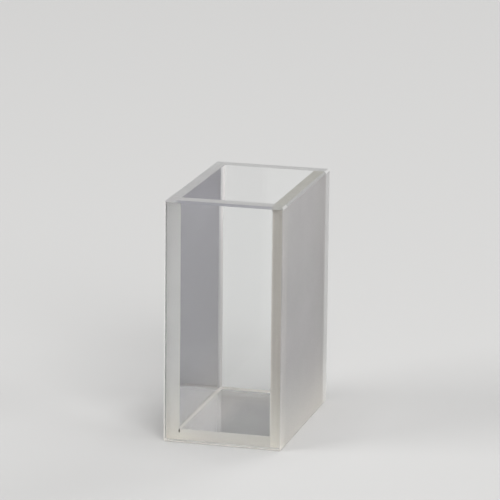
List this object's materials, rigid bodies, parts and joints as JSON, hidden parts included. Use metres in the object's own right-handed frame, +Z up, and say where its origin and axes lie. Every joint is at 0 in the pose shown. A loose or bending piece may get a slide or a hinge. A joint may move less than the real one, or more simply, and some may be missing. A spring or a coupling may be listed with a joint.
{
  "type": "glass cuvette",
  "caption": "Open-topped rectangular glass cell with clear front and rear windows, ground side walls and a flat base, for holding a liquid sample in a light beam.",
  "frame": {"origin": "middle of the underside", "axes": "+Z up out of the open top, Y along the light beam with the front window at -Y, X across the cell from the left wall to the right wall"},
  "size_m": [0.023, 0.036, 0.047],
  "materials": {
    "window_glass": "polished on both faces, ground edges",
    "wall_glass": "ground outside and on the edges, polished inside",
    "base_glass": "ground underside and edges, polished inside"
  },
  "bodies": {
    "root": {"front_window": "window_glass", "rear_window": "window_glass", "left_wall": "wall_glass", "right_wall": "wall_glass", "base_plate": "base_glass"}
  },
  "joints": []
}
